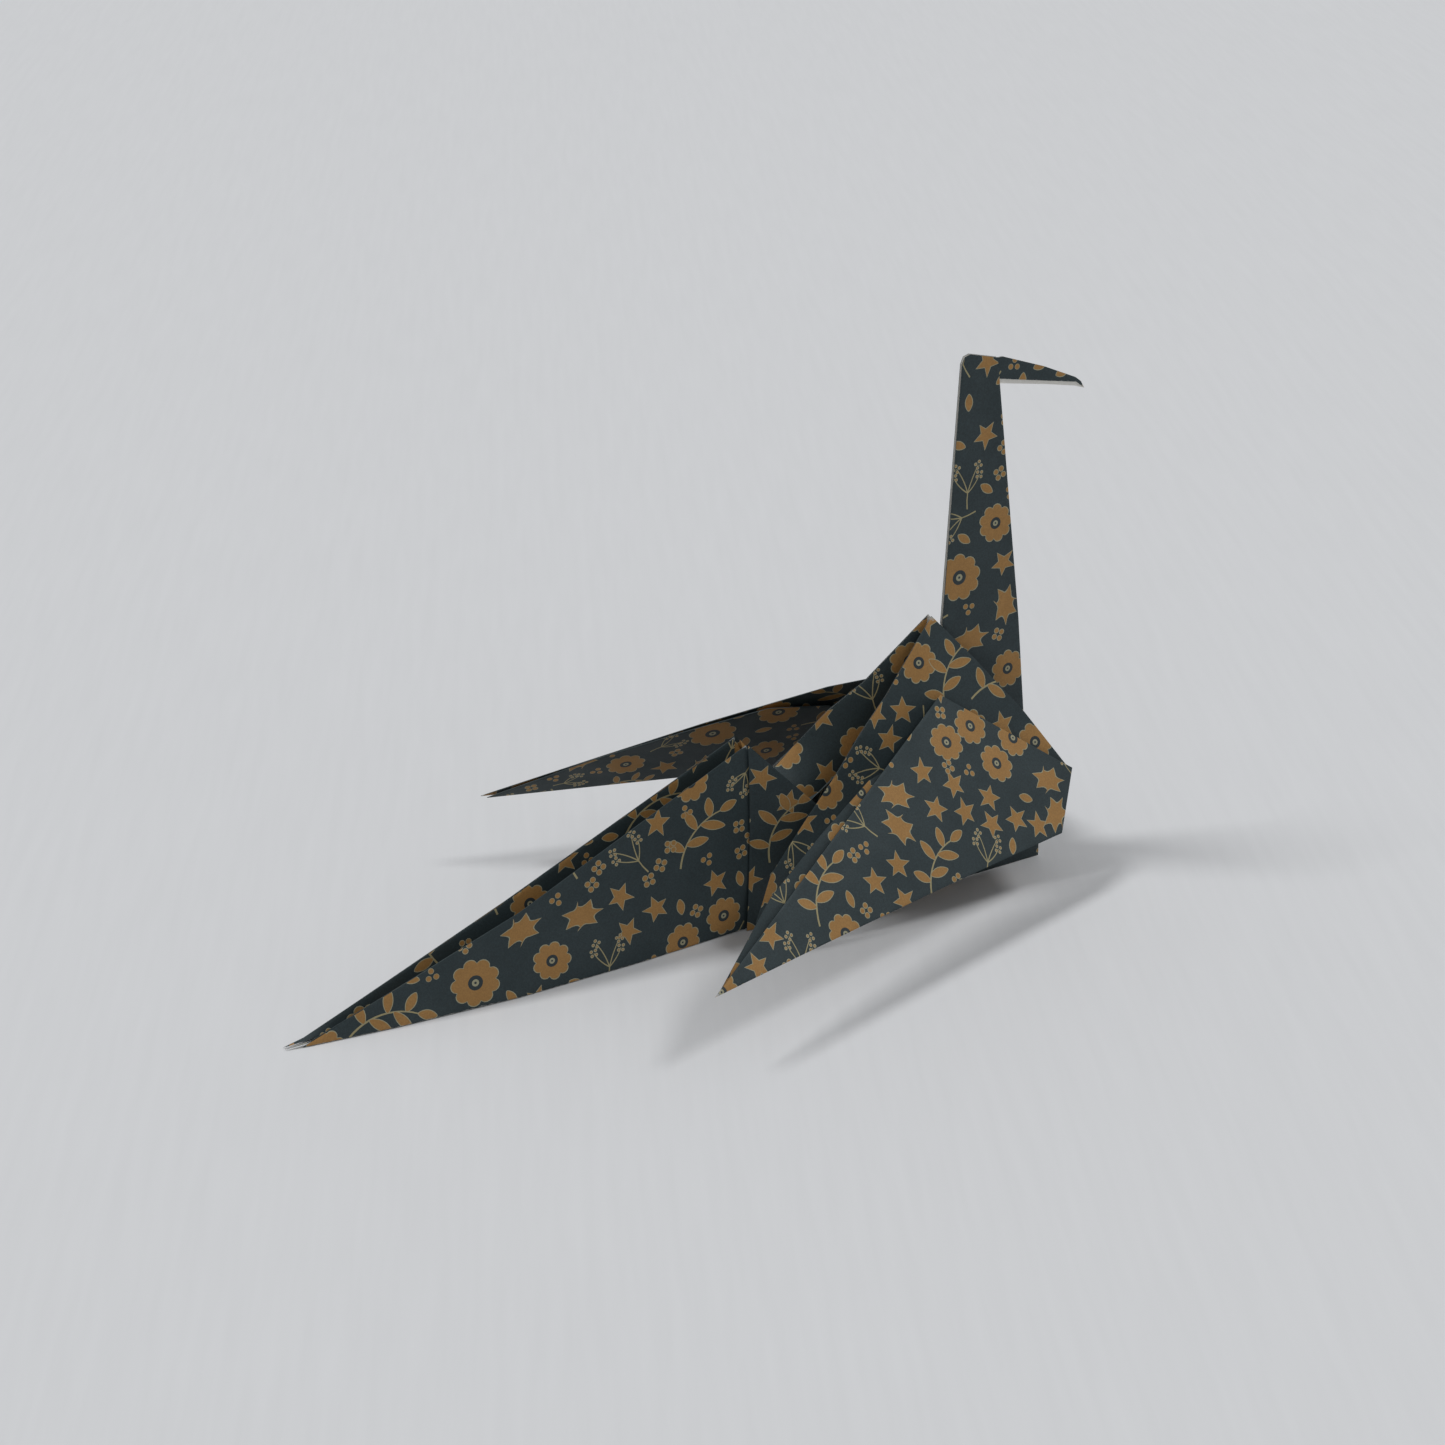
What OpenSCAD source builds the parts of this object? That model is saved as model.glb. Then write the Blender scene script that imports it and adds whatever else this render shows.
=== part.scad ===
// Origami crane folded from one square of paper: wide swept tail, tall neck with a
// reverse-folded head, two swept-back wings and a raised hump over the body.
// Millimetres, +X towards the beak, +Y towards the bird's left, +Z up, resting on z = 0.
// The sheet is split at its creases, so every flat facet is its own panel.

/* [Sheet] */
// Drawn thickness of one folded panel
panel_t = 0.22; // [0.15:0.01:0.4]
// Clear strip left beside a crease so that two panels do not share material
crease_gap = 0.15; // [0:0.05:0.5]

/* [Tail] */
// How far the tail tip reaches behind the centre
tail_reach = 69.2; // [60:0.2:80]
// Height of the tail crease where it meets the body
tail_peak_height = 31; // [24:0.5:36]
// Where the tail meets the body, along X
tail_root_x = 6.4; // [0:0.1:12]
// Half the opening between the two tail creases
tail_half_gap = 2.4; // [1:0.1:5]

/* [Body] */
// Height of the hump's apex
hump_height = 44.2; // [36:0.2:52]
// Apex position along X
hump_x = 40.5; // [34:0.5:46]
// Half width of the body where the ridges end, near the floor
ridge_half_width = 10.4; // [7:0.1:14]
// Half width of the body's foot on the floor
foot_half_width = 6.2; // [4:0.1:9]
// Front end of the body's foot
foot_front_x = 58.7; // [52:0.1:62]

/* [Wings] */
// Half of the span between the two wing tips
half_span = 38.3; // [28:0.1:50]
// Wing tip position along X
wing_tip_x = -20.2; // [-34:0.2:0]
// Height of the wing tips above the floor
wing_tip_height = 12.7; // [4:0.1:40]
// Distance between the wing's folded layers
layer_gap = 0.55; // [0.35:0.05:1.2]
// How far the left wing's crest bows upwards
left_crest_bow = 3; // [0:0.1:5]

/* [Neck and head] */
// Height of the folded corner at the top of the neck
neck_height = 85.8; // [70:0.2:100]
// Depth of the neck from back to front, just below the head
neck_top_depth = 6.6; // [4:0.1:10]
// Where the beak ends along X
beak_tip_x = 68.4; // [60:0.2:80]
// Height of the beak tip
beak_tip_height = 76.9; // [68:0.1:86]

/* [Hidden] */
paper = [0.16, 0.20, 0.23];
print_ochre = [0.67, 0.49, 0.24];

// Corners on the bird's right side (-Y); the left side mirrors them.
apex = [hump_x, -0.75, hump_height];
ridge_1 = [30.3, -3.4, 34.3];
ridge_2 = [24.7, -5.0, 30.0];
ridge_3 = [19.3, -6.4, 24.6];
ridge_4 = [12.8, -7.9, 18.9];
ridge_5 = [5.4, -ridge_half_width + 0.5, 12.4];
ridge_end = [2.4, -ridge_half_width - 0.4, 5.6];
front_1 = [47, -2.8, 36.8];
front_2 = [54.7, -6.1, 26.9];
wing_front_top = [60.8, -11, 17.5];
wing_crest = [39, -5.4, 33.2];
wing_tip = [wing_tip_x, -half_span, wing_tip_height];
tail_tip = [-tail_reach, -0.35, 0.4];
tail_peak = [tail_root_x, -2.0, tail_peak_height];
tail_heel = [tail_root_x + 0.8, -2.6, 0];
tail_tongue = [tail_root_x + 11.6, -2.8, 5];
tail_mid = [-33, -tail_half_gap, 13.6];
neck_back_x = 45.1;

function unit(v) = v / norm(v);
function total(v, i = 0) = i < len(v) - 1 ? v[i] + total(v, i + 1) : v[i];
// Newell normal of a nearly flat polygon
function newell(p) = unit(total([for (i = [0:len(p) - 1])
    let (a = p[i], b = p[(i + 1) % len(p)]) cross(a, b)]));
// Corner i moved inwards so that both its edges step in by d
function stepped_in(p, n, d, i) = let (
    k = len(p), e0 = unit(p[i] - p[(i + k - 1) % k]), e1 = unit(p[(i + 1) % k] - p[i]),
    s = cross(e0, e1) * n)
    p[i] + (abs(s) < 0.2 ? d * cross(n, e0) : d * (e1 - e0) / s);

// One flat facet of the sheet: a thin plate over the polygon p, thickened along dir
module facet(p, gap = crease_gap, dir = undef) {
    n = newell(p);
    k = len(p);
    up = (dir == undef ? n : dir) * panel_t / 2;
    q = gap == 0 ? p : [for (i = [0:k - 1]) stepped_in(p, n, gap, i)];
    mid = total(q) / k;
    flip = n * up < 0;
    a = flip ? -up : up;
    polyhedron(
        points = concat([for (v = q) v + a], [mid + a], [for (v = q) v - a], [mid - a]),
        faces = concat(
            [for (i = [0:k - 1]) [(i + 1) % k, i, k]],
            [for (i = [0:k - 1]) [k + 1 + i, k + 1 + (i + 1) % k, 2 * k + 1]],
            [for (i = [0:k - 1]) [i, (i + 1) % k, k + 1 + i]],
            [for (i = [0:k - 1]) [(i + 1) % k, k + 1 + (i + 1) % k, k + 1 + i]]));
}

module mirrored() { mirror([0, 1, 0]) children(); }

// Tail: an M section of four sectors, creases on top and raw edges on the floor.
// Its outer sectors run on between the body's layers, so no gap opens when the tail lifts.
module tail_outer()
    facet([tail_tip + [2, -0.6, -0.4], tail_heel, tail_tongue, tail_peak, tail_mid],
          gap = 0, dir = [0, 1, 0]);
module tail_inner()
    facet([tail_tip, [tail_root_x - 1.4, -0.55, 2.4],
           tail_peak + [-0.7, 0.65, -0.5], tail_mid + [0, 0.6, -0.5]], dir = [0, 1, 0]);
module tail_right_outer() color(paper) tail_outer();
module tail_right_inner() color(paper) tail_inner();
module tail_left_inner() color(paper) mirrored() tail_inner();
module tail_left_outer() color(paper) mirrored() tail_outer();

// Feet: the wing's outer sectors, standing on their raw edges beside the tail and neck
module foot_rear()
    facet([[5, -3.6, 0], [29.6, -foot_half_width, 0], [29.6, -foot_half_width - 0.9, 9],
           [15.2, -6.0, 20.6], [tail_root_x + 0.3, -2.8, tail_peak_height - 0.3]],
          gap = 0, dir = [0, 1, 0]);
module foot_front()
    facet([[30.2, -foot_half_width, 0], [foot_front_x, -5.5, 0], [57.6, -7.0, 6.8],
           [30.2, -foot_half_width - 0.9, 8.8]], gap = 0, dir = [0, 1, 0]);
module right_foot_rear() color(paper) foot_rear();
module right_foot_front() color(paper) foot_front();
module left_foot_rear() color(paper) mirrored() foot_rear();
module left_foot_front() color(paper) mirrored() foot_front();

// Gussets: sunk between the two ridges behind the apex, and beside the neck in front
module rear_gusset()
    facet([apex + [-0.6, 0.45, -0.9], ridge_1 + [-0.1, 0.6, -0.4],
           ridge_2 + [-0.1, 0.7, -0.4], ridge_3 + [-0.1, 0.8, -0.4], [15.6, -5.4, 21.2],
           [tail_root_x + 1.6, -1.9, tail_peak_height - 0.8], [25, -0.3, 24]]);
module front_gusset()
    facet([[42.6, -1.75, 39.5], [49, -3.0, 31.5], [54.6, -5.3, 22.5], [56.4, -6.6, 12],
           [47, -2.0, 13], [42.5, -1.9, 26]]);
module rear_gusset_right() color(paper) rear_gusset();
module rear_gusset_left() color(paper) mirrored() rear_gusset();
module front_gusset_right() color(paper) front_gusset();
module front_gusset_left() color(paper) mirrored() front_gusset();

// Flanks: the body's sides, from the apex down to the ridge's lower end
module flank()
    facet([apex, front_1, front_2, [60.3, -9.4, 16.9],
           [44, -9.6, 15], [22, -10.6, 11], ridge_end, ridge_5, ridge_4, ridge_3, ridge_2,
           ridge_1]);
module right_flank() color(paper) flank();
module left_flank() color(paper) mirrored() flank();

// Wings: each is folded in half along its crest, with a lining inside. They are drawn flat
// in the wing's own plane: along the crest towards the tip, across it towards the front edge.
crest_length = norm(wing_tip - wing_crest);
wing_u = unit(wing_tip - wing_crest);
wing_n = unit(cross(wing_u, wing_front_top - wing_crest)) * -1;
wing_v = cross(wing_u, wing_n);
// Point of the right wing: along, across, and how far towards the body
function on_wing(a, b, d) = wing_crest + a * wing_u + b * wing_v + d * wing_n;
module wing_layer(outline, depth) facet([for (c = outline) on_wing(c[0], c[1], depth)]);
front_edge = [[-11, 25], [0, 30]];
module wing_front(bow = 0)
    wing_layer([[0, 0], front_edge[0], front_edge[1], [crest_length, 0],
                [50, -0.6 * bow], [33, -bow], [12, -0.8 * bow]], 0);
module wing_rear(bow = 0)
    wing_layer([[13, 2], [3, 24], [3, 26.5], [crest_length - 1.5, 0.4],
                [51, -2 - 0.4 * bow], [36, -1.6 - 0.8 * bow], [22, -0.7 - 0.8 * bow]],
               2 * layer_gap);
module wing_lining(bow = 0)
    wing_layer([[16, 3], [6, 22.5], [6, 24.5], [crest_length - 12, 1.6],
                [33, 0.2 - 0.9 * bow]], layer_gap);
module right_wing_front() color(print_ochre) wing_front();
module right_wing_rear() color(paper) wing_rear();
module right_wing_lining() color(paper) wing_lining();
module left_wing_front() color(print_ochre) mirrored() wing_front(left_crest_bow);
module left_wing_rear() color(paper) mirrored() wing_rear(left_crest_bow);
module left_wing_lining() color(paper) mirrored() wing_lining(left_crest_bow);

// Pleats: the narrow strip folded back under the wing's top edge, which sweeps the wing back
module pleat() wing_layer([[-10, 24], [0.8, 1.6], [11.4, 3], [1.2, 23]], 0.8 * layer_gap);
module right_pleat() color(paper) pleat();
module left_pleat() color(paper) mirrored() pleat();

// Neck: four narrow sectors folded flat together
function neck_outline(y, s) = [
    [47.5, y, 24], [56.2, y, 13], [58.4 - s, y, 24], [56.8 - s, y, 40.5],
    [neck_back_x + neck_top_depth + 0.2 - s, y * 0.75, neck_height - 3.8],
    [neck_back_x + neck_top_depth - 0.5 - s, y * 0.75, neck_height - 1],
    [neck_back_x + 0.8 + s, y * 0.75, neck_height - s],
    [neck_back_x + s, y * 0.75, neck_height - 1.8],
    [42.4 + s, y, 42.6]];
module neck_outer() facet(neck_outline(-1.1, 0), gap = 0, dir = [0, 1, 0]);
module neck_inner() facet(neck_outline(-0.78, 0.35), gap = 0, dir = [0, 1, 0]);
module neck_right_outer() color(paper) neck_outer();
module neck_right_inner() color(paper) neck_inner();
module neck_left_inner() color(paper) mirrored() neck_inner();
module neck_left_outer() color(paper) mirrored() neck_outer();

// Head: the neck's end turned inside itself; the beak is creased on top
head_outline = [[47.2, 82.2], [52.8, 80.9], [61.5, 79], [beak_tip_x, beak_tip_height],
                [beak_tip_x - 1.2, beak_tip_height + 1.9], [60.9, 81.5], [53, 84.4],
                [47.2, 84.4]];
module head_half() translate([0, -0.2, 0]) rotate([90, 0, 0])
    linear_extrude(panel_t) polygon(head_outline);
module head_right() color(paper) head_half();
module head_left() color(paper) mirrored() head_half();

tail_right_outer();
tail_right_inner();
tail_left_inner();
tail_left_outer();
right_foot_rear();
right_foot_front();
left_foot_rear();
left_foot_front();
rear_gusset_right();
rear_gusset_left();
front_gusset_right();
front_gusset_left();
right_flank();
left_flank();
right_pleat();
left_pleat();
right_wing_front();
right_wing_rear();
right_wing_lining();
left_wing_front();
left_wing_rear();
left_wing_lining();
neck_right_outer();
neck_right_inner();
neck_left_inner();
neck_left_outer();
head_right();
head_left();
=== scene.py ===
"""Origami crane: one paper panel for each CAD node, printed by cutting the motifs into its mesh."""
import math
import random

import bpy
import numpy as np
from mathutils import Matrix, Vector
from mathutils.geometry import delaunay_2d_cdt


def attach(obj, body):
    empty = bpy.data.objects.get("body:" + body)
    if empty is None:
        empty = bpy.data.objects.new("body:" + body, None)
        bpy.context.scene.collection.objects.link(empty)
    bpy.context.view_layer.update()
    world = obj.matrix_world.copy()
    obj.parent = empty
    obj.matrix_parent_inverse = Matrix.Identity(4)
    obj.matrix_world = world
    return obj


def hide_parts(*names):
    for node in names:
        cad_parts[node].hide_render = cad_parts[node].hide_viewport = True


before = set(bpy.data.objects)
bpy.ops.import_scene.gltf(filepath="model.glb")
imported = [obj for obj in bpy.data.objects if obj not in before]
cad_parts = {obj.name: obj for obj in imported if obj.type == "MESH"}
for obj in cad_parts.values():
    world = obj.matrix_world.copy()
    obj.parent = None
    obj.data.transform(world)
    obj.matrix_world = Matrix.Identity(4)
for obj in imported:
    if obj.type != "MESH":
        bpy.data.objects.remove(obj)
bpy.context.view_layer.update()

MM = 0.001
PAPER = 0.16  # thickness of a drawn layer, mm
# what a point on the crane's right side is multiplied by
RIGHT, LEFT = np.array([1.0, 1.0, 1.0]), np.array([1.0, -1.0, 1.0])

# ---------------------------------------------------------------- materials
INK, OCHRE, PALE, RING, WHITE, STEM = range(6)


def linear(*colour):
    """A screen colour, 0 to 255, as the linear colour that a shader takes."""
    return tuple(c / 255 / 12.92 if c <= 10 else ((c / 255 + 0.055) / 1.055) ** 2.4 for c in colour)


def paper_material(name, colour, lift, rough, fibre):
    """Printed paper: mottled ink, fibre bump, and folds rubbed down towards the white sheet.
    lift: how many times lighter the grain's pale flecks are. fibre: the strength of the bump."""
    material = bpy.data.materials.new(name)
    material.use_nodes = True
    tree = material.node_tree
    tree.nodes.clear()
    new, link = tree.nodes.new, tree.links.new
    out, bsdf = new("ShaderNodeOutputMaterial"), new("ShaderNodeBsdfPrincipled")
    link(bsdf.outputs[0], out.inputs[0])
    place = new("ShaderNodeTexCoord")

    def noise(scale, detail, roughness=0.6):
        n = new("ShaderNodeTexNoise")
        n.inputs["Scale"].default_value = scale
        n.inputs["Detail"].default_value = detail
        n.inputs["Roughness"].default_value = roughness
        link(place.outputs["Object"], n.inputs["Vector"])
        return n

    def ramp(low, high, a, b, source):
        r = new("ShaderNodeMapRange")
        for key, value in (("From Min", low), ("From Max", high), ("To Min", a), ("To Max", b)):
            r.inputs[key].default_value = value
        link(source, r.inputs["Value"])
        return r.outputs[0]

    def mixed(factor, a, b):
        n = new("ShaderNodeMix")
        n.data_type = "RGBA"
        for socket, value in ((n.inputs[0], factor), (n.inputs[6], a), (n.inputs[7], b)):
            if isinstance(value, bpy.types.NodeSocket):
                link(value, socket)
            else:
                socket.default_value = value if isinstance(value, (int, float)) else (*value, 1)
        return n.outputs[2]

    grain, cloud, scuff = noise(3800, 3), noise(160, 4), noise(1500, 4, 0.7)
    tone = tuple(min(1.0, c * lift) for c in colour)
    body = mixed(ramp(0.35, 0.68, 0.0, 1.0, grain.outputs["Fac"]), colour, tone)
    body = mixed(ramp(0.3, 0.75, 0.0, 0.35, cloud.outputs["Fac"]), body, tuple(0.8 * c for c in colour))
    # the "wear" of each point is highest on a worn tip, less on a cut edge or a fold, and 0 inside the panel
    wear = new("ShaderNodeAttribute")
    wear.attribute_name = "wear"
    add = new("ShaderNodeMath")
    add.operation = "ADD"
    link(wear.outputs["Fac"], add.inputs[0])
    link(ramp(0.3, 0.7, -0.42, 0.34, scuff.outputs["Fac"]), add.inputs[1])
    rubbed = ramp(0.62, 1.1, 0.0, 0.75, add.outputs[0])
    body = mixed(rubbed, body, linear(188, 188, 184))
    link(body, bsdf.inputs["Base Color"])
    link(ramp(0.3, 0.7, rough - 0.06, rough + 0.08, cloud.outputs["Fac"]), bsdf.inputs["Roughness"])
    bump = new("ShaderNodeBump")
    bump.inputs["Strength"].default_value = fibre
    bump.inputs["Distance"].default_value = 0.00006
    link(noise(2600, 5, 0.65).outputs["Fac"], bump.inputs["Height"])
    link(bump.outputs[0], bsdf.inputs["Normal"])
    bsdf.inputs["Specular IOR Level"].default_value = 0.42
    return material


inks = [
    paper_material("print_ground", linear(34, 46, 49), 1.6, 0.62, 0.55),
    paper_material("print_ochre", linear(146, 109, 60), 1.28, 0.66, 0.45),
    paper_material("print_pale", linear(150, 146, 120), 1.15, 0.66, 0.45),
    paper_material("print_ring", linear(36, 46, 50), 1.3, 0.62, 0.45),
    paper_material("paper_reverse", linear(226, 224, 218), 1.05, 0.8, 0.6),
    paper_material("print_stem", linear(150, 140, 104), 1.15, 0.66, 0.45),
]

# ---------------------------------------------------------------- the print: motifs in mm
# width of the pale line round each motif's ochre
FLOWER_LINE, STAR_LINE, HOLLY_LINE, LEAF_LINE, DOT_LINE = 0.15, 0.17, 0.16, 0.12, 0.07
PETALS, STAR_POINTS, HOLLY_POINTS = 9, 5, 7
BRANCH_STEM, SPRIG_STEM, SPRIG_FOOT = 0.32, 0.2, 0.24  # stem widths
BERRY, BERRY_HEART, BERRY_RING = 0.3, 0.16, 0.52  # a berry, its ochre middle, and the round that four sit on


def turned(points, angle, x=0.0, y=0.0):
    c, s = math.cos(math.radians(angle)), math.sin(math.radians(angle))
    return [(x + c * px - s * py, y + s * px + c * py) for px, py in points]


def circle(r, n, x=0.0, y=0.0):
    angles = [2 * math.pi * i / n for i in range(n)]
    return [(x + r * math.cos(a), y + r * math.sin(a)) for a in angles]


def petals(r, steps=6):
    """A scalloped round, a little flattened."""
    n = PETALS * steps
    out = []
    for i in range(n):
        a = 2 * math.pi * i / n
        q = r * (0.82 + 0.18 * abs(math.sin(PETALS * a / 2)) ** 0.7)
        out.append((q * math.cos(a), 0.94 * q * math.sin(a)))
    return out


def flower(r):
    """Petals round a ringed eye."""
    return [(PALE, petals(r + FLOWER_LINE)), (OCHRE, petals(r)), (RING, circle(0.31 * r, 20)),
            (PALE, circle(0.15 * r, 12)), (RING, circle(0.055 * r, 8))]


def star(r):
    """A star cut by hand: its points differ a little in length and direction."""
    def ring(k):
        out = []
        for i in range(2 * STAR_POINTS):
            q = (r + k) * (1 + 0.07 * math.sin(2.3 * i)) if i % 2 == 0 else 0.43 * r + 0.7 * k
            a = math.radians(36 * i + 4 * math.sin(1.7 * i))
            out.append((q * math.cos(a), q * math.sin(a)))
        return out
    return [(PALE, ring(STAR_LINE)), (OCHRE, ring(0.0))]


def holly(r, steps=5):
    """A long leaf whose points are joined by hollow curves."""
    n = HOLLY_POINTS * steps

    def ring(k):
        out = []
        for i in range(n):
            u = (i % steps) / steps
            q = 1 - 0.42 * math.sin(math.pi * u) ** 0.6
            a = 2 * math.pi * (i / n) + 0.16 * math.sin(2.1 * (i // steps))
            out.append(((r * q + k) * 1.25 * math.cos(a), (r * q + k) * 0.86 * math.sin(a)))
        return out
    return [(PALE, ring(HOLLY_LINE)), (OCHRE, ring(0.0))]


def almond(length, width, x=0.0, y=0.0, angle=0.0):
    """A leaf that starts at (x, y) and runs in the direction of angle."""
    def ring(k):
        pts = []
        for i in range(20):
            a = 2 * math.pi * i / 20
            cx = math.cos(a)
            half = (width / 2 + k) * math.sin(a) * (1 - 0.35 * cx * cx)
            pts.append(((length / 2 + k) * (cx + 1) - k, half))
        return turned(pts, angle, x, y)
    return [(PALE, ring(LEAF_LINE)), (OCHRE, ring(0.0))]


def stroke(points, width):
    """A thin stem along points, narrowing to its end, as one closed outline."""
    left, right = [], []
    for i, (x, y) in enumerate(points):
        a, b = points[max(0, i - 1)], points[min(len(points) - 1, i + 1)]
        d = math.hypot(b[0] - a[0], b[1] - a[1])
        w = width / 2 * (1 - 0.35 * i / len(points))
        nx, ny = -(b[1] - a[1]) / d * w, (b[0] - a[0]) / d * w
        left.append((x + nx, y + ny))
        right.append((x - nx, y - ny))
    return left + right[::-1]


def bend(length, curve, n=12):
    """Points of a stem of that length, turning by curve degrees."""
    x = y = 0.0
    out = [(0.0, 0.0)]
    for i in range(n):
        a = math.radians(curve * (i + 0.5) / n)
        x, y = x + length / n * math.cos(a), y + length / n * math.sin(a)
        out.append((x, y))
    return out


def branch(size):
    """A curved stem with paired almond leaves."""
    stem = bend(size, -70)
    shapes = [(STEM, stroke(stem, BRANCH_STEM))]
    # (place along the stem, angle, length) of each leaf
    leaves = ((3, 62, 2.6), (4, -78, 2.9), (7, 38, 2.9), (8, -96, 3.3), (10, 12, 2.4), (12, -62, 2.3))
    for at, angle, length in leaves:
        shapes += almond(length * size / 9, 1.1 * size / 9, *stem[at], angle)
    return shapes


def sprig(size):
    """A forked stem with clusters of small berries."""
    shapes = []
    for angle, length, curve in ((-52, 0.72, 30), (-16, 0.98, -14), (16, 1.0, 22), (56, 0.8, -26)):
        stem = turned(bend(size * length, curve, 8), angle)
        shapes.append((STEM, stroke(stem, SPRIG_STEM)))
        ex, ey = stem[-1]
        for i in range(4):
            a = math.radians(90 * i + angle)
            x, y = ex + BERRY_RING * math.cos(a), ey + BERRY_RING * math.sin(a)
            shapes += [(PALE, circle(BERRY, 9, x, y)), (OCHRE, circle(BERRY_HEART, 7, x, y))]
    shapes.append((STEM, stroke([(-0.55 * size, 0.0), (-0.25 * size, 0.08), (0.02, 0.0)], SPRIG_FOOT)))
    return shapes


def quatrefoil(r):
    """Four round petals, which touch in the middle."""
    centres = [turned([(0.68 * r, 0)], 90 * i)[0] for i in range(4)]
    return [(ink, circle(size * r, 10, *c)) for ink, size in ((PALE, 0.46), (OCHRE, 0.36)) for c in centres]


def dots(r):
    """Three dots in a triangle."""
    shapes = []
    for i in range(3):
        c = turned([(1.75 * r, 0)], 120 * i + 20)[0]
        shapes += [(PALE, circle(r + DOT_LINE, 10, *c)), (OCHRE, circle(r, 10, *c))]
    return shapes


MOTIFS = {"flower": flower, "star": star, "holly": holly, "branch": branch, "sprig": sprig,
          "quatrefoil": quatrefoil, "dots": dots, "leaf": lambda s: almond(s, 0.48 * s, -s / 2)}
SIZES = {"flower": 3.15, "star": 2.2, "holly": 2.75, "branch": 11.5, "sprig": 4.8,
         "quatrefoil": 1.1, "dots": 0.4, "leaf": 2.6}
# how often each motif is tried, per square millimetre of paper; the large ones find their place first
TRIES = (("flower", 0.02), ("branch", 0.04), ("sprig", 0.04), ("holly", 0.03), ("star", 0.08),
         ("leaf", 0.06), ("quatrefoil", 0.07), ("dots", 0.05))
GAP = 0.55  # least ground between two motifs
STEM_ROOM = 0.1  # half the width that a stem keeps free
MARGIN = 1.5  # how far past the panel's edge a motif may stand
# the motifs given one by one on the panels seen first: (x, y), (x, y, turn) or (x, y, turn, enlarged), in mm
# and degrees, from the panel's first corner with x towards its second
FEATURED = {
    "right_wing_front": {
        "flower": [(2.5, -7.5), (6.5, -2.5), (12.5, -6.5), (15, -0.5)],
        "star": [(-1, -14.5), (2.5, -19.5), (5, -14), (8, -17.5), (12, -13), (13.5, -17), (18, -14),
                 (22.5, -13), (-6, -36), (-2.5, -31.5), (0, -36.5), (-22, -52), (-23, -57.5)],
        "holly": [(-5, -20.5, 20), (-3.5, -25.5, -15), (23, -4.5, 25), (25.5, -9.5, 75)],
        "branch": [(5, -34, 118), (-14, -47, 124)],
        "sprig": [(-9.5, -28, 165), (14, -23.5, 100), (-15.5, -54, 110)],
        "quatrefoil": [(0.5, -3), (3.5, -11.5), (-10.5, -33.5), (-6.5, -41)]},
    "tail_right_outer": {
        "flower": [(27, 4, 0, 1.22), (39.5, 4.5), (62, 1.5), (69.5, 4)],
        "star": [(51.5, 12), (57.5, 8.5), (52.5, 6), (36.5, -1)],
        "holly": [(35, 10.5, 20), (45, 10.5, 5)],
        "branch": [(62, 14, 82), (7, 0, 42)],
        "sprig": [(55, 17, 125), (49, 1, 88), (74, 27, 235, 0.7)],
        "quatrefoil": [(47, 15), (56.5, 13.5), (60.5, 18), (72.5, 18.5)],
        "dots": [(63.5, 23), (41, 14)]},
    "neck_right_outer": {
        "flower": [(-23.5, 24.5), (-21.5, 14.5, 0, 1.25)],
        "star": [(-36.5, 32), (-17, 21.5), (-45.6, 39.3)],
        "holly": [(-11, 17.5, -35), (-11.5, 9.5, 60)],
        "sprig": [(-31.5, 24, 141)],
        "leaf": [(-26, 19, 15), (-43, 33, 141)],
        "quatrefoil": [(-29.5, 30), (-8, 13.5)],
        "dots": [(-16, 12.5)]},
    "head_right": {
        "leaf": [(12.5, 2.6, 25), (17, 1.8, 25)],
        "dots": [(7.5, 2.4)]},
    "right_flank": {
        "flower": [(3, -7)],
        "star": [(2, -18), (5.5, -14.5), (6.5, -19.5)],
        "branch": [(12, -10, 150)]},
    "right_foot_rear": {
        "star": [(3, 25.5), (7, 21)],
        "branch": [(4, 11, 100)]},
    "left_wing_rear": {
        "flower": [(-9.5, -16.5, 0, 1.25), (-5.5, -6, 0, 1.1), (3, -15)],
        "star": [(-7.5, -28)],
        "branch": [(-11, -38, 80, 0.7)],
        "sprig": [(-18, -41, 60, 0.7), (-13.5, -24, 80, 0.8)],
        "leaf": [(-3, -11, 60)],
        "quatrefoil": [(-21.5, -45)]},
}


def motif(kind, x=0.0, y=0.0, angle=0.0, enlarged=1.0):
    """The outlines of one motif in place, and the circles that keep others off it."""
    drawn = MOTIFS[kind](enlarged * SIZES[kind])
    shapes = [(ink, np.array(turned(outline, angle, x, y))) for ink, outline in drawn]
    solid = [p for ink, p in shapes if ink == OCHRE]
    room = [(p.mean(0), np.linalg.norm(p - p.mean(0), axis=1).max()) for p in solid]
    room += [(point, STEM_ROOM) for ink, p in shapes if ink == STEM for point in p]
    return shapes, room


ROOM = {}  # the centres and radii of each motif's own circles
for motif_kind in SIZES:
    circles = motif(motif_kind)[1]
    ROOM[motif_kind] = (np.array([c for c, _ in circles]), np.array([r for _, r in circles]))


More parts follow.
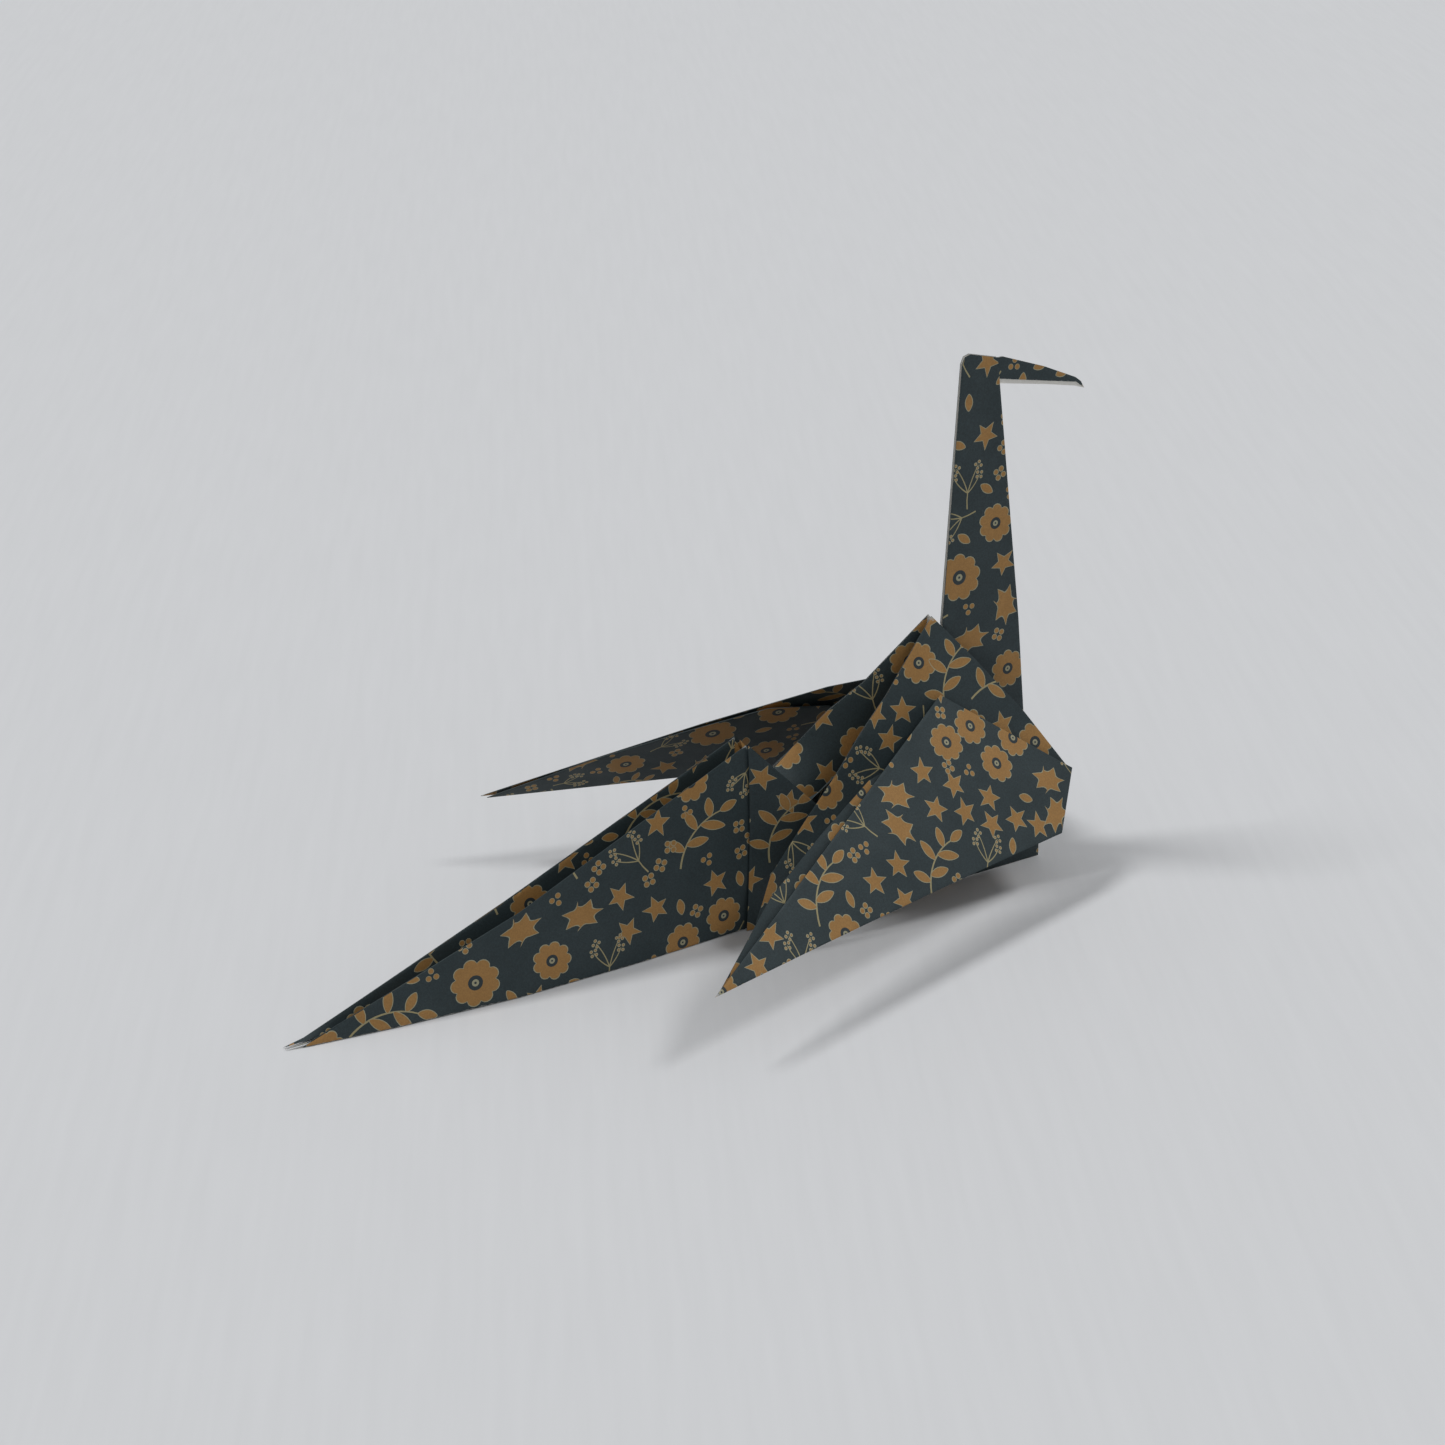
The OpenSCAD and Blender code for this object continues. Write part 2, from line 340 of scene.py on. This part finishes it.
def print_over(node, edge):
    """(ink, outline) of every motif on a panel: the featured ones, then others wherever there is room."""
    draw = random.Random(node)
    low, high = edge.min(0) - MARGIN, edge.max(0) + MARGIN
    area = float(np.prod(high - low))
    shapes, centres, radii = [], [], []

    def add(kind, *place):
        outlines, room = motif(kind, *place)
        shapes.extend(outlines)
        centres.extend(c for c, _ in room)
        radii.extend(r for _, r in room)

    for kind, places in FEATURED.get(node, {}).items():
        for place in places:
            add(kind, *place, *((draw.uniform(0, 360),) if len(place) == 2 else ()))
    for kind, often in TRIES:
        tries = [(draw.uniform(low[0], high[0]), draw.uniform(low[1], high[1]), draw.uniform(0, 360))
                 for _ in range(int(area * often))]
        if not tries:
            continue
        places = np.array(tries)[:, :2]
        on_panel = inside(places, edge) | (to_outline(places, edge)[0] < MARGIN)
        for (x, y, angle), hit in zip(tries, on_panel):
            if not hit:
                continue
            spots = np.array(turned(ROOM[kind][0], angle, x, y))
            if centres:
                apart = np.linalg.norm(spots[:, None] - np.array(centres)[None], axis=2)
                if (apart < ROOM[kind][1][:, None] + np.array(radii)[None] + GAP).any():
                    continue
            add(kind, x, y, angle)
    return shapes


# ---------------------------------------------------------------- the crane's corners, right side, mm
OUTWARD, INWARD = (0, -1, 0), (0, 1, 0)
apex = (40.4, -0.45, 44.5)
ridge = [(30.3, -3.2, 34.3), (24.7, -4.9, 30.0), (19.3, -6.3, 24.6), (12.8, -7.8, 18.9), (5.4, -9.9, 12.4)]
ridge_end = (2.3, -10.8, 5.5)
front_edge = [(47.0, -2.8, 36.8), (54.7, -6.1, 26.9)]
tail_peak = (6.0, -1.75, 31.0)
foot_crease = [(29.8, -6.2, 0.15), (29.8, -7.1, 9.0)]
wing_top = np.array([60.8, -11.0, 17.5])
wing_crest = np.array([39.0, -5.4, 33.2])
wing_tip = np.array([-20.2, -38.3, 12.7])


def unit(v):
    return v / np.linalg.norm(v)


# the wing's own directions: along it from the crest, across it towards wing_top, and through it to the body
wing_along = unit(wing_tip - wing_crest)
wing_through = unit(np.cross(wing_top - wing_crest, wing_along))
wing_through = wing_through if wing_through[1] > 0 else -wing_through
wing_across = np.cross(wing_through, wing_along)
wing_across = wing_across if (wing_top - wing_crest) @ wing_across > 0 else -wing_across


def on_wing(along, across, depth=0.0):
    return tuple(wing_crest + along * wing_along + across * wing_across + depth * wing_through)


# ---------------------------------------------------------------- one panel of the sheet
OUTLINE_STEP = 1.3  # spacing of the points along an edge
GRID_STEP = 1.6  # spacing of the points inside a panel
EDGE_ROWS = (0.16, 0.5)  # rows of points beside the outline, which round the edge and carry its wear
LEAST_GAP = 0.1  # inner points nearer the outline than this are left out
TOUCHING = 0.05  # a motif this near the outline is cut too
WELD = 1e-4  # points closer than this are one
ON_EDGE = 1e-3  # points this near the outline are on it
RUBBED = 0.3  # how far in from an edge the print is rubbed
FOLD_WEAR, CUT_WEAR, WORN = 0.42, 0.85, 1.25  # how rubbed a fold, a cut edge and a worn point are
# (place, radius) where the print is rubbed to white: the back's point and the tips
WORN_POINTS = ((apex, 1.0), ((6.1, -1.7, 31.0), 0.45), (wing_tip, 0.9), ((-71.0, -0.5, 0.2), 1.0),
               ((68.4, -0.1, 77.0), 0.8))


def inside(points, poly):
    """Even-odd test of points against a closed outline."""
    hit = np.zeros(len(points), bool)
    x, y = points[:, 0], points[:, 1]
    for a, b in zip(poly, np.roll(poly, -1, 0)):
        cross = (a[1] > y) != (b[1] > y)
        with np.errstate(divide="ignore", invalid="ignore"):
            at = (b[0] - a[0]) * (y - a[1]) / (b[1] - a[1]) + a[0]
        hit ^= cross & (x < at)
    return hit


def to_outline(points, poly):
    """Distance of each point from the closed outline, and which edge is nearest."""
    best, which = np.full(len(points), 1e9), np.zeros(len(points), int)
    for i, (a, b) in enumerate(zip(poly, np.roll(poly, -1, 0))):
        d = b - a
        t = np.clip(((points - a) @ d) / max(d @ d, 1e-12), 0, 1)
        dist = np.linalg.norm(points - (a + t[:, None] * d), axis=1)
        near = dist < best
        best[near], which[near] = dist[near], i
    return best, which


def mean_value(points, poly, values):
    """values given at the corners of poly, carried smoothly over points."""
    total, weight = np.zeros(len(points)), np.zeros(len(points))
    n = len(poly)
    v = poly[None] - points[:, None]
    r = np.maximum(np.linalg.norm(v, axis=2), 1e-7)
    tan = np.empty((len(points), n))
    for i in range(n):
        j = (i + 1) % n
        cross = v[:, i, 0] * v[:, j, 1] - v[:, i, 1] * v[:, j, 0]
        dot = (v[:, i] * v[:, j]).sum(1)
        cross = np.where(np.abs(cross) < 1e-9, 1e-9, cross)
        tan[:, i] = (r[:, i] * r[:, j] - dot) / cross
    for i in range(n):
        w = (tan[:, i - 1] + tan[:, i]) / r[:, i]
        total += w * values[i]
        weight += w
    return total / np.where(np.abs(weight) < 1e-12, 1e-12, weight)


def plane_of(corners, outward, side):
    """The corners round the printed face, the edge that each one starts, and the panel's plane."""
    points = np.array(corners, float) * side
    count = len(points)
    normal = unit(sum(np.cross(points[i], points[(i + 1) % count]) for i in range(count)))
    order = list(range(count))
    if normal @ (np.array(outward, float) * side) < 0:
        normal, order = -normal, order[::-1]
    # edge k of a reversed outline joins the same two corners as edge e of the given one
    edge_of = [order[k] if order[0] == 0 else order[(k + 1) % count] for k in range(count)]
    along = points[1] - points[0]
    along = unit(along - normal * (along @ normal))
    return points[order], edge_of, (points[0], along, np.cross(normal, along), normal)


def close_outline(flat, height, edge_of, bows):
    """The outline as close points, with its bows: where each is, its edge, and its height off the plane."""
    points, edges, heights = [], [], []
    for k, edge in enumerate(edge_of):
        a, b = flat[k], flat[(k + 1) % len(flat)]
        start, end = height[k], height[(k + 1) % len(flat)]
        d = b - a
        length = np.linalg.norm(d)
        steps = max(2, int(length / OUTLINE_STEP))
        normal = np.array([d[1], -d[0]]) / length
        for step in range(steps):
            u = step / steps
            points.append(a + d * u + normal * bows.get(edge, 0.0) * 4 * u * (1 - u))
            edges.append(edge)
            heights.append(start + (end - start) * u)
    return np.array(points), np.array(edges), np.array(heights)


def inner_points(edge, pitch):
    """Rows of points beside the outline and a staggered grid over the panel."""
    rows = []
    for inset in EDGE_ROWS:
        for i, b in enumerate(edge):
            t = unit(edge[(i + 1) % len(edge)] - edge[i - 1])
            rows.append(b + inset * np.array([-t[1], t[0]]))
    low, high = edge.min(0), edge.max(0)
    x, y = np.meshgrid(np.arange(low[0], high[0], pitch), np.arange(low[1], high[1], pitch))
    grid = np.stack([x.ravel(), y.ravel()], 1)
    grid[:, 0] += (np.round(grid[:, 1] / pitch).astype(int) % 2) * pitch / 2
    points = np.concatenate([np.array(rows), grid])
    return points[inside(points, edge) & (to_outline(points, edge)[0] > LEAST_GAP)]


def closed(start, count):
    """The sides of a closed outline of count points, numbered from start."""
    return [(start + i, start + (i + 1) % count) for i in range(count)]


def cut_sheet(node, edge, pitch):
    """The flat panel as triangles of one ink each: the motifs' outlines are among the triangles' sides."""
    verts = [tuple(p) for p in edge]
    lines = closed(0, len(edge))
    printed = []
    for ink, outline in print_over(node, edge):
        if inside(outline, edge).any() or to_outline(edge, outline)[0].min() < TOUCHING:
            lines += closed(len(verts), len(outline))
            verts += [tuple(p) for p in outline]
            printed.append((ink, outline))
    verts += [tuple(p) for p in inner_points(edge, pitch)]
    points, _, faces, *_ = delaunay_2d_cdt([Vector(v) for v in verts], lines, [], 0, WELD, False)
    points, tris = np.array([tuple(v) for v in points], float), np.array(faces)
    centre = points[tris].mean(1)
    keep = inside(centre, edge)
    tris, centre = tris[keep], centre[keep]
    inks_of = np.full(len(tris), INK)
    for ink, outline in printed:
        near = np.flatnonzero(((centre > outline.min(0)) & (centre < outline.max(0))).all(1))
        inks_of[near[inside(centre[near], outline)]] = ink
    used = np.unique(tris)
    tris, points = np.searchsorted(used, tris), points[used]
    # every triangle goes the same way round, and those without an area are left out
    a, b, c = points[tris[:, 0]], points[tris[:, 1]], points[tris[:, 2]]
    area = (b[:, 0] - a[:, 0]) * (c[:, 1] - a[:, 1]) - (b[:, 1] - a[:, 1]) * (c[:, 0] - a[:, 0])
    tris[area < 0] = tris[area < 0][:, ::-1]
    good = np.abs(area) > 1e-7
    return points, tris[good], inks_of[good]


def height_over(points, edge, edge_height, dist, nearest, swell):
    """How far each point stands off the plane: as its outline does, with the middle swelled."""
    h = np.zeros(len(points))
    if np.ptp(edge_height) > 1e-6:
        h = mean_value(points, edge, edge_height)
    on_edge = dist < ON_EDGE
    start = nearest[on_edge]
    end = (start + 1) % len(edge)
    length = np.maximum(np.linalg.norm(edge[end] - edge[start], axis=1), 1e-9)
    t = np.linalg.norm(points[on_edge] - edge[start], axis=1) / length
    h[on_edge] = edge_height[start] * (1 - t) + edge_height[end] * t
    return h + swell * np.sin(np.clip(dist / dist.max(), 0, 1) * math.pi / 2) ** 2


def wear_over(middle, dist, on_cut, side):
    """How rubbed the print is at each point: least on folds, more on cut edges, most on worn points."""
    wear = np.clip(1 - dist / RUBBED, 0, 1) * np.where(on_cut, CUT_WEAR, FOLD_WEAR)
    for place, radius in WORN_POINTS:
        d = np.linalg.norm(middle - np.array(place) * side, axis=1)
        wear = np.maximum(wear, WORN * np.clip(WORN - d / radius, 0, 1))
    return wear


def border_of(tris):
    """The sides that belong to one triangle only."""
    sides = {}
    for a, b, c in tris:
        for i, j in ((a, b), (b, c), (c, a)):
            key = (min(i, j), max(i, j))
            sides[key] = None if key in sides else (i, j)
    return [pair for pair in sides.values() if pair]


def panel(node, body, corners, outward, side, bows=None, cut=(), swell=0.0, plain_back=True,
          pitch=GRID_STEP):
    """One facet of the sheet over its corners (mm, right side; side mirrors it), in place of the CAD node.
    outward: a direction the printed face looks. bows: how far an edge curves out of its straight line.
    cut: the edges that aren't folded. swell: how far the middle stands out.
    plain_back: the back shows the sheet's plain side, not another printed layer."""
    points, edge_of, (origin, along, up, normal) = plane_of(corners, outward, side)
    flat = np.stack([(points - origin) @ along, (points - origin) @ up], 1)
    depth = (points - origin) @ normal
    edge, edge_kind, edge_height = close_outline(flat, depth, edge_of, bows or {})
    flat, tris, ink = cut_sheet(node, edge, pitch)
    dist, nearest = to_outline(flat, edge)
    height = height_over(flat, edge, edge_height, dist, nearest, swell)
    middle = origin + flat[:, :1] * along + flat[:, 1:] * up + height[:, None] * normal
    round_off = 0.3 * PAPER * np.clip(1 - dist / EDGE_ROWS[0], 0, 1) ** 2
    front = middle + normal * (PAPER / 2 - round_off[:, None])
    back = middle - normal * (PAPER / 2)
    on_cut = np.isin(edge_kind[nearest], cut)
    wear = wear_over(middle, dist, on_cut, side)

    count = len(flat)
    rim = border_of(tris)
    faces = [*tris.tolist(), *(count + tris[:, ::-1]).tolist()]
    faces += [(int(j), int(i), count + int(i), count + int(j)) for i, j in rim]
    slots = [*ink, *(np.full(len(ink), WHITE) if plain_back else ink)]
    slots += [WHITE if on_cut[i] else INK for i, _ in rim]
    mesh = bpy.data.meshes.new(node + "_paper")
    mesh.from_pydata((np.concatenate([front, back]) * MM).tolist(), [], faces)
    for material in inks:
        mesh.materials.append(material)
    mesh.polygons.foreach_set("material_index", [int(k) for k in slots])
    attribute = mesh.attributes.new("wear", "FLOAT", "POINT")
    attribute.data.foreach_set("value", np.concatenate([wear, wear * 0.5]).astype(np.float32))
    mesh.polygons.foreach_set("use_smooth", [True] * len(mesh.polygons))
    mesh.set_sharp_from_angle(angle=math.radians(35))
    mesh.validate()
    obj = bpy.data.objects.new("paper_" + node, mesh)
    bpy.context.scene.collection.objects.link(obj)
    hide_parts(node)
    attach(obj, body)


# ---------------------------------------------------------------- the crane, one side at a time
def tail(hand, side):
    panel(f"tail_{hand}_outer", "tail",
          [(-68.5, -0.9, 0.15), (-54, -2.7, 0.15), (-35, -4.0, 0.15), (-14, -3.8, 0.15), (7.0, -2.6, 0.15),
           (18.0, -2.9, 5.0), tail_peak, (-33.5, -2.3, 13.3)],
          OUTWARD, side, cut=(0, 1, 2, 3), swell=0.4, plain_back=False)
    panel(f"tail_{hand}_inner", "tail",
          [(-71.0, -0.3, 0.25), (5.0, -0.4, 2.5), (6.0, -1.65, 30.9), (-33.5, -2.15, 13.2),
           (-67.6, -0.85, 0.6)],
          INWARD, side, swell=-0.2, plain_back=False)


def body(hand, side):
    panel(f"{hand}_foot_rear", "body",
          [(4.8, -3.5, 0.15), *foot_crease, (15.6, -6.3, 20.8), (6.2, -2.15, 31.1)],
          OUTWARD, side, cut=(0,), swell=0.25, bows={4: -0.35}, plain_back=False)
    panel(f"{hand}_foot_front", "body",
          [foot_crease[0], (58.7, -5.5, 0.15), (57.6, -7.0, 6.8), (60.0, -9.7, 16.6), (44.0, -9.5, 14.6),
           (29.8, -9.2, 12.6), foot_crease[1]],
          OUTWARD, side, cut=(0,))
    panel(f"rear_gusset_{hand}", "body",
          [apex, *ridge[:3], (14.8, -6.0, 21.2), (7.0, -1.9, 30.4), (12.0, -0.25, 12.0), (26.0, -0.2, 7.0),
           (37.0, -0.25, 27.0)],
          (-0.3, 1, 0.6), side, swell=-0.2, plain_back=False)
    panel(f"front_gusset_{hand}", "body",
          [(41.6, -1.2, 41.0), (49.0, -3.0, 31.5), (54.6, -5.3, 22.5), (56.4, -6.6, 12.0),
           (47.0, -2.0, 13.0), (42.5, -1.6, 26.0)],
          (0.3, 1, 0), side, plain_back=False)
    panel(f"{hand}_flank", "body",
          [apex, *front_edge, (60.7, -10.2, 17.3), (44.0, -9.9, 15.0), (22.0, -11.0, 11.0), ridge_end,
           *ridge[::-1]],
          (0, -1, 0.3), side, swell=0.3)
    panel(f"{hand}_pleat", "body",
          [on_wing(-10.6, 24.7, 0.44), on_wing(0.2, 0.6, 0.3), on_wing(11.4, 3, 0.44),
           on_wing(1.2, 23, 0.44)],
          -wing_through, side, plain_back=False)


def wing(hand, side, bow):
    """bow: how far the wing's crest curves, which only the left wing's does."""
    panel(f"{hand}_wing_front", f"{hand}_wing",
          [on_wing(0, 0), on_wing(-11.2, 25.1), on_wing(-0.1, 29.9), on_wing(71.1, 0),
           on_wing(50, -0.45 * bow), on_wing(33, -0.75 * bow), on_wing(12, -0.75 * bow)],
          -wing_through, side, swell=0.45, bows={2: -0.25}, plain_back=False)
    panel(f"{hand}_wing_lining", f"{hand}_wing",
          [on_wing(16, 3, 0.5), on_wing(6, 22.5, 0.5), on_wing(6, 24.5, 0.5), on_wing(59, 1.6, 0.5),
           on_wing(33, 0.2 - 0.6 * bow, 0.5)],
          wing_through, side, plain_back=False)
    panel(f"{hand}_wing_rear", f"{hand}_wing",
          [on_wing(13, 2, 1.0), on_wing(3, 24, 1.0), on_wing(3, 26.5, 1.0), on_wing(70.2, 0.3, 0.5),
           on_wing(51, -2 - 0.2 * bow, 0.9), on_wing(36, -1.6 - 0.45 * bow, 0.9),
           on_wing(22, -0.7 - 0.6 * bow, 0.9)],
          wing_through, side, plain_back=False)


def neck_outline(y, inset):
    """The neck's corners at y, which leans in to 0.85 of y at the top, drawn in by inset."""
    top_y = 0.85 * y
    return [(47.5, y, 24), (56.2, y, 13), (58.6 - inset, y, 24), (57.1 - inset, y, 40.5),
            (52.2 - inset, top_y, 82.0), (51.9 - inset, top_y, 84.5), (46.9 + inset, top_y, 85.8 - inset),
            (45.9 + inset, top_y, 85.5 - inset), (45.4 + inset, top_y, 84.4), (42.6 + inset, y, 42.6)]


def neck(hand, side):
    panel(f"neck_{hand}_outer", "neck", neck_outline(-0.32, 0.0), OUTWARD, side, swell=0.1)
    panel(f"neck_{hand}_inner", "neck", neck_outline(-0.13, 0.3), INWARD, side, plain_back=False)


def head(hand, side, drop):
    """drop: how far the layer hangs below the fold, so that its plain side shows under the beak."""
    panel(f"head_{hand}", "head",
          [(47.2, -0.12, 82.2), (52.8, -0.12, 80.9 - drop), (61.5, -0.45, 79.2 - drop),
           (66.8, -0.3, 78.1 - drop), (68.5, -0.1, 76.8), (67.8, -0.12, 78.0), (66.8, -0.12, 78.8),
           (60.9, -0.12, 81.5), (53.0, -0.12, 84.4), (47.2, -0.12, 84.4)],
          OUTWARD, side, cut=(0, 1, 2, 3), pitch=0.9)


for hand, side, bow, drop in (("right", RIGHT, 0.0, 0.0), ("left", LEFT, 3.0, 0.75)):
    tail(hand, side)
    body(hand, side)
    wing(hand, side, bow)
    neck(hand, side)
    head(hand, side, drop)


# ---------------------------------------------------------------- floor, light and camera
def floor_material():
    """Pale board with faint brush marks."""
    material = bpy.data.materials.new("floor_pale")
    material.use_nodes = True
    tree = material.node_tree
    bsdf = tree.nodes["Principled BSDF"]
    bsdf.inputs["Roughness"].default_value = 0.9
    bsdf.inputs["Specular IOR Level"].default_value = 0.15
    place = tree.nodes.new("ShaderNodeTexCoord")
    stretch = tree.nodes.new("ShaderNodeMapping")
    marks = tree.nodes.new("ShaderNodeTexNoise")
    colour = tree.nodes.new("ShaderNodeMix")
    stretch.inputs["Scale"].default_value = (520, 34, 1)
    marks.inputs["Scale"].default_value = 1.0
    marks.inputs["Detail"].default_value = 3
    colour.data_type = "RGBA"
    colour.inputs[6].default_value = (*linear(204, 205, 207), 1)
    colour.inputs[7].default_value = (*linear(210, 211, 213), 1)
    tree.links.new(place.outputs["Object"], stretch.inputs["Vector"])
    tree.links.new(stretch.outputs[0], marks.inputs["Vector"])
    tree.links.new(marks.outputs["Fac"], colour.inputs[0])
    tree.links.new(colour.outputs[2], bsdf.inputs["Base Color"])
    return material


FLOOR_HALF = 15  # metres, wide enough to reach the horizon in a low view
floor_corners = [(x * FLOOR_HALF, y * FLOOR_HALF, 0) for x, y in ((-1, -1), (1, -1), (1, 1), (-1, 1))]
floor_mesh = bpy.data.meshes.new("floor")
floor_mesh.from_pydata(floor_corners, [], [(0, 1, 2, 3)])
floor_mesh.materials.append(floor_material())
floor = bpy.data.objects.new("floor", floor_mesh)
floor.rotation_euler = (0, 0, math.radians(-26))  # the brush marks run away from the camera
bpy.context.scene.collection.objects.link(floor)

world = bpy.data.worlds.new("studio")
bpy.context.scene.world = world
world.use_nodes = True
background = world.node_tree.nodes["Background"]
background.inputs["Color"].default_value = (0.97, 0.985, 1.0, 1)
background.inputs["Strength"].default_value = 0.41


def sun_light(name, place, strength):
    """An even soft light that falls from the direction of place."""
    light = bpy.data.lights.new(name, "SUN")
    light.energy, light.angle = strength, math.radians(13)
    obj = bpy.data.objects.new(name, light)
    obj.location = place
    obj.rotation_euler = Vector(place).to_track_quat("Z", "Y").to_euler()
    bpy.context.scene.collection.objects.link(obj)


sun_light("key", (-1.68, 0.9, 2.91), 1.35)
sun_light("side", (1.6, -1.2, 2.82), 0.78)


def place_camera(eye, aim, roll, lens):
    """The camera at eye, looking at aim (mm), turned by roll degrees about its own view."""
    ahead = (aim - eye).normalized()
    level = ahead.cross(Vector((0, 0, 1))).normalized()
    above = level.cross(ahead)
    c, s = math.cos(math.radians(roll)), math.sin(math.radians(roll))
    axes = Matrix((c * level + s * above, c * above - s * level, -ahead)).transposed()
    camera = bpy.data.objects.new("camera", bpy.data.cameras.new("camera"))
    camera.data.lens, camera.data.sensor_width = lens, 36.0
    camera.data.clip_start, camera.data.clip_end = 0.01, 60
    camera.matrix_world = Matrix.Translation(eye * MM) @ axes.to_4x4()
    bpy.context.scene.collection.objects.link(camera)
    bpy.context.scene.camera = camera


place_camera(Vector((-198.5, -359.4, 221.0)), Vector((3.0, 0.0, 34.9)), roll=-0.89, lens=74.14)
bpy.context.scene.view_settings.view_transform = "Standard"
